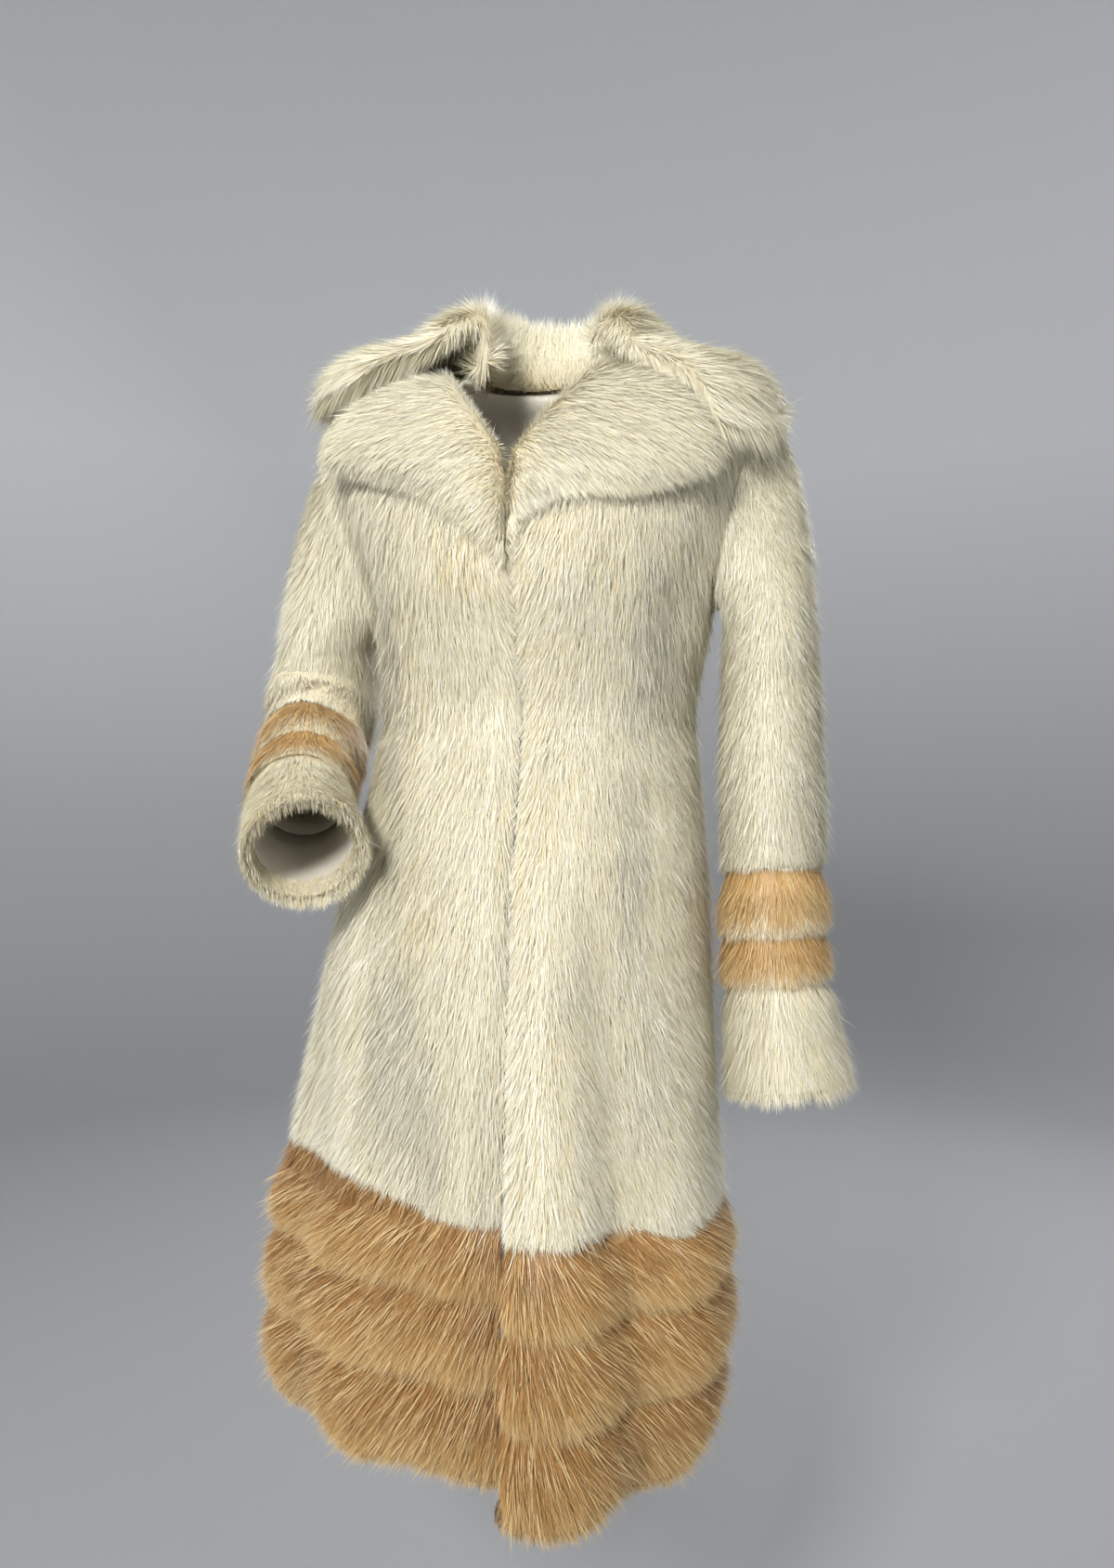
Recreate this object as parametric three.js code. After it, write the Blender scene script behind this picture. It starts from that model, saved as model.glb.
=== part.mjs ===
// A knee-length fur coat, filled out as it is worn, open at the neck, the hem and the cuffs.
// Millimetres, +Z up. The origin lies midway between the two points where the shoulders meet the neck.
// +X is the wearer's left, and the front faces -Y. The outer faces lie where the fur ends.
import * as THREE from "three";

const SEAM_GAP = 0.3; // between two pieces that are sewn together
const FRONT_EDGE = 0.6; // from the centre line to the edge of each front
// Lower down, the left front swings to its own side.
const LEFT_SWING = { starts: -470, full: -730, reach: 12 };
const WALL = 10; // leather with the short cream fur on it
const EDGE_GROOVE = { depth: 7, width: 9 }; // the fronts round inwards where they meet

// Heights of the seams.
const HEM = -947;
const LOWER_BAND_TOP = -871;
const MIDDLE_BAND_TOP = -800;
const BORDER_TOP = -735;
const ARMPIT = -235;
const SHOULDER_POINT = -50;
const NECK_BASE = 0;

// The body as level rings: how far each reaches to the wearer's right and left,
// to the front on each side, and to the back.
const RINGS = [
  { z: -947, right: 261, left: 150, frontRight: -176, frontLeft: -222, back: 136 },
  { z: -890, right: 268, left: 165, frontRight: -179, frontLeft: -225, back: 140 },
  { z: -812, right: 264, left: 169, frontRight: -177, frontLeft: -222, back: 140 },
  { z: -733, right: 255, left: 166, frontRight: -172, frontLeft: -214, back: 138 },
  { z: -638, right: 234, left: 158, frontRight: -162, frontLeft: -190, back: 135 },
  { z: -525, right: 205, left: 152, frontRight: -148, frontLeft: -159, back: 130 },
  { z: -438, right: 183, left: 147, frontRight: -137, frontLeft: -139, back: 119 },
  { z: -380, right: 167, left: 142, frontRight: -121, frontLeft: -121, back: 101 },
  { z: -316, right: 158, left: 140, frontRight: -112, frontLeft: -112, back: 88 },
  { z: -260, right: 160, left: 150, frontRight: -128, frontLeft: -128, back: 99 },
  { z: -203, right: 172, left: 164, frontRight: -145, frontLeft: -145, back: 112 },
  { z: -150, right: 192, left: 180, frontRight: -144, frontLeft: -144, back: 115 },
  { z: -100, right: 207, left: 193, frontRight: -131, frontLeft: -131, back: 112 },
  { z: -68, right: 213, left: 201, frontRight: -114, frontLeft: -114, back: 103 },
  { z: -50, right: 208, left: 196, frontRight: -101, frontLeft: -101, back: 94 },
  { z: -38, right: 178, left: 165, frontRight: -90, frontLeft: -90, back: 85 },
  { z: -25, right: 140, left: 131, frontRight: -76, frontLeft: -76, back: 75 },
  { z: -12, right: 105, left: 101, frontRight: -60, frontLeft: -60, back: 65 },
  { z: 0, right: 75, left: 75, frontRight: -42, frontLeft: -42, back: 55 },
];
const RING_POWER = 0.9; // 1 is an ellipse, and less is squarer

// How the outward direction is taken: from points this many degrees and millimetres away,
// and level from this far below the armpits.
const NORMAL = { stepAngle: 1.5, stepZ: 4, least: 0.01, levelBelow: 60 };

// Flutes of the skirt, by their angle round the body from the centre front: + is to the wearer's left.
// Each starts at one height, is full at another, and is a trough where its depth is negative.
const FLUTES = [
  { starts: -425, full: -640, angleAtStart: 30, angleAtHem: 47, width: 11, depth: -24 },
  { starts: -430, full: -700, angleAtStart: 12, angleAtHem: 19, width: 12, depth: 9 },
  { starts: -390, full: -560, angleAtStart: -36, angleAtHem: -16, width: 7, depth: -15 },
  { starts: -440, full: -600, angleAtStart: -18, angleAtHem: -9, width: 4, depth: -9 },
  { starts: -450, full: -620, angleAtStart: -26, angleAtHem: -27, width: 8, depth: 6 },
  { starts: -500, full: -720, angleAtStart: -58, angleAtHem: -49, width: 21, depth: -22 },
  { starts: -540, full: -680, angleAtStart: -64, angleAtHem: -50, width: 6, depth: -8 },
  { starts: -500, full: -720, angleAtStart: 112, angleAtHem: 108, width: 9, depth: -13 },
  { starts: -420, full: -700, angleAtStart: 134, angleAtHem: 130, width: 10, depth: 8 },
  { starts: -400, full: -640, angleAtStart: 156, angleAtHem: 151, width: 9, depth: -19 },
  { starts: -430, full: -680, angleAtStart: 173, angleAtHem: 175, width: 10, depth: 9 },
  { starts: -390, full: -620, angleAtStart: 194, angleAtHem: 199, width: 9, depth: -17 },
  { starts: -450, full: -700, angleAtStart: 215, angleAtHem: 221, width: 10, depth: 8 },
  { starts: -500, full: -690, angleAtStart: 236, angleAtHem: 243, width: 8, depth: -15 },
];

// Soft dips and swells of the bodice, each with its middle,
// its reach round the body and its reach up and down.
const DIPS = [
  { angle: 30, z: -262, around: 6, tall: 75, depth: -5 },
  { angle: 60, z: -215, around: 7, tall: 60, depth: -6 },
  { angle: -60, z: -220, around: 7, tall: 85, depth: -7 },
  { angle: -32, z: -300, around: 5, tall: 70, depth: -4 },
  { angle: 64, z: -334, around: 24, tall: 9, depth: -6 },
  { angle: -66, z: -322, around: 20, tall: 9, depth: -4 },
  { angle: 150, z: -318, around: 18, tall: 9, depth: -5 },
  { angle: 215, z: -330, around: 22, tall: 9, depth: -5 },
  { angle: 128, z: -190, around: 8, tall: 70, depth: -5 },
  { angle: 232, z: -195, around: 8, tall: 75, depth: -5 },
  { angle: -55, z: -430, around: 14, tall: 55, depth: -9 },
];

// Edge of each front above the place where the two part, by its distance from the centre line.
const NECKLINE = [
  { z: -138, x: 0.6 },
  { z: -100, x: 18 },
  { z: -70, x: 41 },
  { z: -42, x: 62 },
  { z: -14, x: 72 },
  { z: 0, x: 74 },
];

// How far the armhole reaches from the side seam, in degrees round the body, and how many steps go round it.
const ARMHOLE = { front: 17, back: 17, steps: 20 };
const ARMHOLE_MIDDLE = (ARMPIT + SHOULDER_POINT) / 2;
const ARMHOLE_HALF = (SHOULDER_POINT - ARMPIT) / 2;

// The sleeves as rings along the arm: the middle of each, its half width across
// and its half width front to back.
const SLEEVES = {
  left: {
    out: 1,
    rings: [
      { x: 204, y: -6, z: -252, wide: 42, deep: 58 },
      { x: 205, y: -10, z: -300, wide: 44, deep: 59 },
      { x: 206, y: -14, z: -353, wide: 46, deep: 60 },
      { x: 208, y: -17, z: -410, wide: 47, deep: 59 },
      { x: 208, y: -19, z: -461, wide: 46, deep: 58 },
      { x: 209, y: -22, z: -517, wide: 46, deep: 58 },
      { x: 211, y: -25, z: -558, wide: 46, deep: 58 },
      { x: 216, y: -29, z: -605, wide: 50, deep: 61 },
      { x: 221, y: -33, z: -648, wide: 55, deep: 65 },
    ],
    creases: [
      { along: 330, angle: 110, reach: 16, around: 50, depth: -4 },
      { along: 285, angle: 60, reach: 14, around: 45, depth: -3 },
      { along: 360, angle: 250, reach: 18, around: 55, depth: -4 },
    ],
  },
  right: {
    out: -1,
    rings: [
      { x: -228, y: 9, z: -246, wide: 47, deep: 59 },
      { x: -232, y: 15, z: -272, wide: 50, deep: 61 },
      { x: -235, y: 14, z: -300, wide: 52, deep: 61 },
      { x: -236, y: 2, z: -326, wide: 53, deep: 58 },
      { x: -231, y: -20, z: -347, wide: 51, deep: 55 },
      { x: -221, y: -59, z: -378, wide: 49, deep: 52 },
      { x: -209, y: -93, z: -401, wide: 49, deep: 51 },
      { x: -192, y: -129, z: -424, wide: 50, deep: 52 },
      { x: -172, y: -163, z: -444, wide: 54, deep: 55 },
    ],
    creases: [
      { along: 206, angle: 92, reach: 11, around: 62, depth: -17 },
      { along: 238, angle: 88, reach: 20, around: 70, depth: 9 },
      { along: 187, angle: 130, reach: 8, around: 48, depth: -8 },
      { along: 262, angle: 100, reach: 9, around: 45, depth: -5 },
      { along: 222, angle: 268, reach: 26, around: 60, depth: 4 },
    ],
  },
};
const CAP_STEPS = [0.13, 0.3, 0.48, 0.66, 0.84]; // from the armhole to the first ring of the sleeve
const SLEEVE_STEP = 27; // about this far from ring to ring below the cap
const CAP_PULL = { away: 0.6, out: 0.5, down: 1 }; // how strongly the cap leaves the armhole and turns down

// Seams of a sleeve, measured back from its open end, and how far each piece stands out.
const SLEEVE_PIECES = [
  { name: "cuff", from: 0, to: 90, steps: 4, lift: 0 },
  { name: "sleeve_band_lower", from: 90, to: 131, steps: 2, lift: 3 },
  { name: "sleeve_band_upper", from: 131, to: 187, steps: 3, lift: 3 },
];

// Outline of each lapel on the front below it: x from the centre line and the height.
const LAPELS = {
  left: {
    roll: [[0.6, -198], [0.6, -162], [2, -134], [18, -98], [41, -68], [62, -42]],
    lower: [[0.6, -198], [8, -170], [29, -152], [53, -147], [95, -146], [128, -138], [156, -126]],
    outer: [[156, -126], [163, -110], [154, -84]],
    gorge: [[62, -42], [108, -46], [154, -84]],
  },
  right: {
    roll: [[0.6, -203], [0.6, -164], [2, -134], [18, -98], [41, -68], [62, -42]],
    lower: [[0.6, -203], [20, -179], [45, -157], [76, -138], [114, -125], [168, -106]],
    outer: [[168, -106], [179, -86], [172, -66]],
    gorge: [[62, -42], [90, -34], [128, -39], [172, -66]],
  },
};
const LAPEL = {
  across: 11, // columns and rows of its grid
  up: 8,
  clearance: 1.3, // above the front
  thick: 15,
  edgeThick: 8,
  edgeShare: 0.16, // of its width, over which it thickens from the edge
  rollShare: 1.5, // how much sooner it is thick beside the roll
  standOff: 9, // how far the outer edge stands off the front, and its loss towards the gorge
  standOffLoss: 0.5,
  neckRise: 6,
};

// Past turn, and past widest as a share of the body's half width, a lapel runs straight.
// The direction there is taken over run, and the outward direction over step.
const CHEST = { turn: 118, widest: 0.66, run: 6, step: 3 };

// The collar as profiles round the neck, from each front end at -30 to the centre back at 90:
// the ridge of the roll, the break below it, the middle of the fall, its rim and its edge,
// each as reach and height.
const COLLAR_COLUMNS = [
  "around", "ridge", "ridgeZ", "brk", "brkZ", "mid", "midZ", "rim", "rimZ", "edge", "edgeZ",
];
const COLLAR = {
  left: [
    [-30, 64, 28, 84, 18, 120, -5, 160, -28, 190, -82],
    [-15, 65, 46, 90, 36, 134, 2, 184, -22, 214, -74],
    [0, 66, 55, 98, 40, 138, 7, 185, -6, 217, -50],
    [14, 66, 58, 100, 42, 138, 9, 180, -4, 210, -50],
    [27, 66, 61, 97, 44, 132, 8, 166, -12, 194, -64],
    [43, 66, 63, 95, 45, 121, 3, 146, -26, 166, -81],
    [64, 68, 64, 94, 43, 112, 0, 130, -38, 143, -94],
    [90, 70, 64, 95, 42, 110, -2, 123, -44, 132, -98],
  ],
  right: [
    [-30, 65, 42, 86, 38, 118, 18, 148, 4, 176, -18],
    [-15, 66, 59, 95, 54, 137, 27, 186, 14, 217, -16],
    [0, 66, 66, 104, 57, 145, 31, 196, 19, 230, -16],
    [14, 66, 66, 102, 55, 143, 29, 188, 15, 221, -20],
    [27, 66, 66, 98, 52, 135, 20, 170, 2, 202, -42],
    [43, 66, 65, 95, 48, 122, 8, 149, -18, 171, -72],
    [64, 68, 64, 94, 43, 112, 1, 131, -36, 144, -92],
    [90, 70, 64, 95, 42, 110, -2, 123, -44, 132, -98],
  ],
};
const COLLAR_ROWS = { left: COLLAR.left.map(named), right: COLLAR.right.map(named) };
const COLLAR_SHAPE = { columns: 28, thick: 13, edgeThick: 9, frontSweep: 7, sweepFrom: [-10, 30] };
const COLLAR_ENDS = { front: -30, back: 90 }; // degrees round from the shoulder
const STAND_INNER = 9; // from the ridge of the roll in to the stand below it

// Extra profile points between the named ones: how far along in reach and in height each lies.
const BETWEEN = {
  seamAndStand: { reach: 0.6, z: 0.5 },
  ridgeAndBreak: { reach: 0.55, z: 0.25 },
  breakAndMiddle: { reach: 0.5, z: 0.6 },
  middleAndRim: { reach: 0.55, z: 0.45 },
  rimAndEdge: { reach: 0.65, z: 0.42 },
};

function named(row) {
  return Object.fromEntries(COLLAR_COLUMNS.map((column, i) => [column, row[i]]));
}

const CREAM = { color: 0xe9dfc0, roughness: 0.75 };
const TAN = { color: 0xc08a52, roughness: 0.75 };

const { clamp, degToRad, lerp, smoothstep } = THREE.MathUtils;

function hermite(a, slopeA, b, slopeB, t) {
  const s = t * t;
  const c = s * t;
  return a * (2 * c - 3 * s + 1) + slopeA * (c - 2 * s + t) + b * (3 * s - 2 * c) + slopeB * (c - s);
}

// Reads one column of a table between its rows, on a smooth curve through them.
function readTable(rows, key, column, at) {
  const last = rows.length - 1;
  let i = 0;
  while (i < last - 1 && at > rows[i + 1][key]) i += 1;
  const slopeAt = (k) => {
    const before = rows[Math.max(k - 1, 0)];
    const after = rows[Math.min(k + 1, last)];
    return (after[column] - before[column]) / (after[key] - before[key]);
  };
  const span = rows[i + 1][key] - rows[i][key];
  const t = clamp((at - rows[i][key]) / span, 0, 1);
  const [from, to] = [rows[i][column], rows[i + 1][column]];
  return hermite(from, slopeAt(i) * span, to, slopeAt(i + 1) * span, t);
}

function bell(distance, reach) {
  return Math.exp(-((distance / reach) ** 2));
}

// Difference of two angles in degrees, from -180 to 180.
function turn(angle, from) {
  return THREE.MathUtils.euclideanModulo(angle - from + 180, 360) - 180;
}

// How far the flutes and dips move the surface out at an angle and height.
function relief(angle, z) {
  let out = 0;
  for (const flute of FLUTES) {
    const share = smoothstep(flute.starts - z, 0, flute.starts - flute.full);
    const down = clamp((flute.starts - z) / (flute.starts - HEM), 0, 1);
    const middle = lerp(flute.angleAtStart, flute.angleAtHem, down);
    out += flute.depth * share * bell(turn(angle, middle), flute.width);
  }
  for (const dip of DIPS) {
    out += dip.depth * bell(turn(angle, dip.angle), dip.around) * bell(z - dip.z, dip.tall);
  }
  return out;
}

function ringAt(angle, z) {
  const left = Math.sin(degToRad(angle)) >= 0;
  const width = readTable(RINGS, "z", left ? "left" : "right", z);
  const front = readTable(RINGS, "z", left ? "frontLeft" : "frontRight", z);
  const back = readTable(RINGS, "z", "back", z);
  return { width, middle: (front + back) / 2, depth: (back - front) / 2 };
}

function leftSwing(z) {
  return LEFT_SWING.reach * smoothstep(-z, -LEFT_SWING.starts, -LEFT_SWING.full);
}

// A point of the body's outer face, by its angle from the centre front and its height.
function bodyPoint(angle, z) {
  const { width, middle, depth } = ringAt(angle, z);
  const sin = Math.sin(degToRad(angle));
  const cos = Math.cos(degToRad(angle));
  const x = Math.sign(sin) * width * Math.abs(sin) ** RING_POWER;
  const y = -Math.sign(cos) * depth * Math.abs(cos) ** RING_POWER;
  const swing = sin > 0 ? leftSwing(z) : 0;
  const groove = cos > 0 ? EDGE_GROOVE.depth * bell(x - swing, EDGE_GROOVE.width) : 0;
  const out = new THREE.Vector3(x / width ** 2, y / depth ** 2, 0).normalize();
  return new THREE.Vector3(x, middle + y, z).addScaledVector(out, relief(angle, z) - groove);
}

// The outward direction there. Below the armpits it is level, so that the seams across lie in one plane.
function bodyNormal(angle, z) {
  const nearEdge = Math.abs(angle) < NORMAL.stepAngle;
  const before = nearEdge && angle > 0 ? NORMAL.least : angle - NORMAL.stepAngle;
  const after = nearEdge && angle < 0 ? -NORMAL.least : angle + NORMAL.stepAngle;
  const around = bodyPoint(after, z).sub(bodyPoint(before, z));
  const above = bodyPoint(angle, Math.min(z + NORMAL.stepZ, NECK_BASE));
  const up = above.sub(bodyPoint(angle, z - NORMAL.stepZ));
  const normal = around.cross(up).normalize();
  normal.z *= smoothstep(z, ARMPIT - NORMAL.levelBelow, ARMPIT);
  return normal.normalize();
}

// The angle of the point of a ring that lies at a distance from the centre line.
function angleAt(x, z, side) {
  const { width } = ringAt(side, z);
  return side * THREE.MathUtils.radToDeg(Math.asin(Math.min(x / width, 1) ** (1 / RING_POWER)));
}

function armholeHeight(turned) {
  return ARMHOLE_MIDDLE + ARMHOLE_HALF * Math.cos(degToRad(turned));
}

// A point of the armhole's edge as an angle and a height.
// turned is 0 at the shoulder, 90 in front and 180 at the armpit.
function armholePlace(turned, side) {
  const sin = Math.sin(degToRad(turned));
  const reach = sin > 0 ? -ARMHOLE.front * sin : -ARMHOLE.back * sin;
  return { angle: side * (90 + reach), z: armholeHeight(turned) };
}

// A closed mesh from a grid of outer points and the matching inner points.
// A tube's last column meets its first.
function wallMesh(name, look, outer, inner, isTube) {
  const rows = outer.length;
  const columns = outer[0].length;
  const points = [...outer.flat(), ...inner.flat()];
  const at = (layer, i, j) => layer * rows * columns + i * columns + (j % columns);
  const faces = [];
  // Each quad splits along its shorter diagonal, so that two rims at a seam split alike.
  const quad = (a, b, c, d) => {
    const first = points[a].distanceTo(points[c]) <= points[b].distanceTo(points[d]);
    faces.push(...(first ? [a, b, c, a, c, d] : [b, c, d, b, d, a]));
  };
  const lastColumn = isTube ? columns : columns - 1;
  for (let i = 0; i < rows - 1; i += 1) {
    for (let j = 0; j < lastColumn; j += 1) {
      quad(at(0, i, j), at(0, i, j + 1), at(0, i + 1, j + 1), at(0, i + 1, j));
      quad(at(1, i, j), at(1, i + 1, j), at(1, i + 1, j + 1), at(1, i, j + 1));
    }
  }
  for (let j = 0; j < lastColumn; j += 1) {
    quad(at(0, 0, j), at(1, 0, j), at(1, 0, j + 1), at(0, 0, j + 1));
    quad(at(0, rows - 1, j), at(0, rows - 1, j + 1), at(1, rows - 1, j + 1), at(1, rows - 1, j));
  }
  for (let i = 0; !isTube && i < rows - 1; i += 1) {
    const end = columns - 1;
    quad(at(0, i, 0), at(0, i + 1, 0), at(1, i + 1, 0), at(1, i, 0));
    quad(at(0, i, end), at(1, i, end), at(1, i + 1, end), at(0, i + 1, end));
  }
  if (signedVolume(points, faces) < 0) faces.reverse();
  const geometry = new THREE.BufferGeometry().setFromPoints(points);
  geometry.setIndex(faces);
  geometry.computeVertexNormals();
  const mesh = new THREE.Mesh(geometry, new THREE.MeshStandardMaterial({ ...look, metalness: 0 }));
  mesh.name = name;
  return mesh;
}

function signedVolume(points, faces) {
  let sum = 0;
  for (let k = 0; k < faces.length; k += 3) {
    const [a, b, c] = [points[faces[k]], points[faces[k + 1]], points[faces[k + 2]]];
    sum += a.dot(b.clone().cross(c)) / 6;
  }
  return sum;
}

function evenly(from, to, steps) {
  return Array.from({ length: steps + 1 }, (_, i) => lerp(from, to, i / steps));
}

// A piece of the body between two edges, each an angle for every height, with its seam gaps left free.
function bodyPanel({ name, look, heights, startAt, endAt, columns, crowd = 1, lift = () => 0 }) {
  const outer = [];
  const inner = [];
  for (const z of heights) {
    const start = startAt(z);
    const end = endAt(z);
    const row = evenly(0, 1, columns).map((share) => lerp(start, end, share ** crowd));
    outer.push(row.map((angle) => bodyPoint(angle, z).addScaledVector(bodyNormal(angle, z), lift(z))));
    inner.push(row.map((angle) => bodyPoint(angle, z).addScaledVector(bodyNormal(angle, z), -WALL)));
  }
  return wallMesh(name, look, outer, inner, false);
}

// Half a seam gap as degrees round the body.
function gapAngle(z) {
  const { width } = ringAt(90, z);
  return THREE.MathUtils.radToDeg(SEAM_GAP / 2 / width);
}

const SKIRT_HEIGHTS = [...evenly(BORDER_TOP + SEAM_GAP / 2, -395, 8), -362, -340, -326, -308, -280, -256];
const ARMHOLE_HEIGHTS = evenly(180, 0, ARMHOLE.steps / 2).map(armholeHeight);
const SHOULDER_HEIGHTS = [-38, -26, -13, NECK_BASE];
const PANEL_HEIGHTS = [...SKIRT_HEIGHTS, ...ARMHOLE_HEIGHTS, ...SHOULDER_HEIGHTS];

// The armhole's edge at a height, or the side and shoulder seams above and below it.
function sideEdge(z, side, reach) {
  const share = (z - ARMHOLE_MIDDLE) / ARMHOLE_HALF;
  const sin = Math.sqrt(Math.max(1 - share * share, 0));
  return side * (90 + reach * sin);
}

function frontEdge(z, side) {
  const swing = side > 0 ? leftSwing(z) : 0;
  const x = z < NECKLINE[0].z ? FRONT_EDGE + swing : readTable(NECKLINE, "z", "x", z);
  return angleAt(x, z, side);
}

function frontPanel(name, side) {
  return bodyPanel({
    name,
    look: CREAM,
    heights: PANEL_HEIGHTS,
    startAt: (z) => frontEdge(z, side),
    endAt: (z) => sideEdge(z, side, -ARMHOLE.front) - side * gapAngle(z),
    columns: 11,
    crowd: 1.25,
  });
}

function backPanel() {
  return bodyPanel({
    name: "back",
    look: CREAM,
    heights: PANEL_HEIGHTS,
    startAt: (z) => sideEdge(z, 1, ARMHOLE.back) + gapAngle(z),
    endAt: (z) => 360 + sideEdge(z, -1, ARMHOLE.back) - gapAngle(z),
    columns: 18,
  });
}

const BORDER_BANDS = [
  { name: "hem_upper", from: MIDDLE_BAND_TOP, to: BORDER_TOP },
  { name: "hem_middle", from: LOWER_BAND_TOP, to: MIDDLE_BAND_TOP },
  { name: "hem_lower", from: HEM, to: LOWER_BAND_TOP },
];
const BAND_PILLOW = { edge: 1.5, middle: 6 }; // how far a band's longer fur stands out
const BAND_ROWS = [0, 0.2, 0.5, 0.82, 1];

function borderBand(band, part) {
  const low = band.from + SEAM_GAP / 2;
  const high = band.to - SEAM_GAP / 2;
  const side = { right: -1, left: 1, back: 0 }[part];
  return bodyPanel({
    name: `${band.name}_${part}`,
    look: TAN,
    heights: BAND_ROWS.map((share) => lerp(low, high, share)),
    startAt: (z) => (side ? frontEdge(z, side) : 90 + gapAngle(z)),
    endAt: (z) => (side ? side * (90 - gapAngle(z)) : 270 - gapAngle(z)),
    columns: side ? 11 : 18,
    crowd: side ? 1.25 : 1,
    lift: (z) => lerp(BAND_PILLOW.edge, BAND_PILLOW.middle, Math.sin(Math.PI * (z - low) / (high - low))),
  });
}

function sleeveCurve(sleeve) {
  return new THREE.CatmullRomCurve3(sleeve.rings.map((ring) => new THREE.Vector3(ring.x, ring.y, ring.z)));
}

// A ring of a sleeve at a distance back from its open end, with the inner points in the same plane.
function sleeveRing(sleeve, curve, along, lift) {
  const share = clamp(1 - along / curve.getLength(), 0, 1);
  const middle = curve.getPointAt(share);
  const down = curve.getTangentAt(share);
  const across = new THREE.Vector3(sleeve.out, 0, 0);
  across.addScaledVector(down, -across.dot(down)).normalize();
  const front = new THREE.Vector3(0, -1, 0);
  front.addScaledVector(down, -front.dot(down)).addScaledVector(across, -front.dot(across)).normalize();
  const place = curve.getUtoTmapping(share) * (sleeve.rings.length - 1);
  const sizes = sleeve.rings.map((ring, at) => ({ ...ring, at }));
  const wide = readTable(sizes, "at", "wide", place);
  const deep = readTable(sizes, "at", "deep", place);
  const outer = [];
  const inner = [];
  for (let k = 0; k < ARMHOLE.steps; k += 1) {
    const turned = (360 * k) / ARMHOLE.steps;
    let grow = lift;
    for (const crease of sleeve.creases) {
      const acrossIt = bell(turn(turned, crease.angle), crease.around);
      grow += crease.depth * bell(along - crease.along, crease.reach) * acrossIt;
    }
    const point = (extra) => middle.clone()
      .addScaledVector(across, (wide + extra) * Math.cos(degToRad(turned)))
      .addScaledVector(front, (deep + extra) * Math.sin(degToRad(turned)));
    outer.push(point(grow));
    inner.push(point(Math.min(grow, 0) - WALL));
  }
  return { outer, inner, down };
}

// The armhole's edge on the outer and the inner face of the body, and the way from there into the sleeve.
function armholeEdge(side) {
  const places = evenly(0, 360, ARMHOLE.steps).slice(0, -1).map((turned) => armholePlace(turned, side));
  const outer = places.map(({ angle, z }) => bodyPoint(angle, z));
  const count = outer.length;
  return outer.map((point, k) => {
    const normal = bodyNormal(places[k].angle, places[k].z);
    const along = outer[(k + 1) % count].clone().sub(outer[(k + count - 1) % count]);
    const away = normal.clone().cross(along).multiplyScalar(side).normalize();
    return { outer: point, inner: point.clone().addScaledVector(normal, -WALL), away };
  });
}

function capPoint(start, away, end, down, t) {
  const reach = start.distanceTo(end);
  const leave = away.clone().multiplyScalar(reach * CAP_PULL.away);
  const arrive = down.clone().multiplyScalar(reach * CAP_PULL.down);
  const axis = (name) => hermite(start[name], leave[name], end[name], arrive[name], t);
  return new THREE.Vector3(axis("x"), axis("y"), axis("z"));
}

// Outward directions of a tube's grid, from its neighbouring points.
function tubeNormals(grid, i, side) {
  const count = grid[i].length;
  return grid[i].map((_, k) => {
    const around = grid[i][(k + 1) % count].clone().sub(grid[i][(k + count - 1) % count]);
    const along = grid[Math.min(i + 1, grid.length - 1)][k].clone().sub(grid[Math.max(i - 1, 0)][k]);
    return along.cross(around).multiplyScalar(-side).normalize();
  });
}

function sleeveTop(name, side, sleeve, curve, firstSeam) {
  const edge = armholeEdge(side);
  const first = sleeveRing(sleeve, curve, curve.getLength(), 0);
  const outward = new THREE.Vector3(side * CAP_PULL.out, 0, 0);
  const starts = edge.map(({ outer, away }) => outer.clone().addScaledVector(away, SEAM_GAP));
  const cap = CAP_STEPS.map((t) => starts.map((start, k) => {
    const away = edge[k].away.clone().add(outward).normalize();
    return capPoint(start, away, first.outer[k], first.down, t);
  }));
  const outer = [starts, ...cap, first.outer];
  const inner = [edge.map((point) => point.inner.clone().addScaledVector(point.away, SEAM_GAP))];
  for (let i = 1; i <= cap.length; i += 1) {
    const normals = tubeNormals(outer, i, side);
    inner.push(outer[i].map((point, k) => point.clone().addScaledVector(normals[k], -WALL)));
  }
  inner.push(first.inner);
  const steps = Math.round((curve.getLength() - firstSeam) / SLEEVE_STEP);
  for (const along of evenly(curve.getLength(), firstSeam + SEAM_GAP / 2, steps).slice(1)) {
    const ring = sleeveRing(sleeve, curve, along, 0);
    outer.push(ring.outer);
    inner.push(ring.inner);
  }
  return wallMesh(name, CREAM, outer, inner, true);
}

function sleevePieces(word) {
  const sleeve = SLEEVES[word];
  const curve = sleeveCurve(sleeve);
  const lastSeam = SLEEVE_PIECES[SLEEVE_PIECES.length - 1].to;
  const pieces = [sleeveTop(`sleeve_${word}`, sleeve.out, sleeve, curve, lastSeam)];
  for (const piece of SLEEVE_PIECES) {
    const start = piece.from ? piece.from + SEAM_GAP / 2 : 0;
    const rings = evenly(start, piece.to - SEAM_GAP / 2, piece.steps)
      .map((along) => sleeveRing(sleeve, curve, along, piece.lift));
    const look = piece.name === "cuff" ? CREAM : TAN;
    const outer = rings.map((ring) => ring.outer);
    const inner = rings.map((ring) => ring.inner);
    pieces.push(wallMesh(`${piece.name}_${word}`, look, outer, inner, true));
  }
  return pieces;
}

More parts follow.
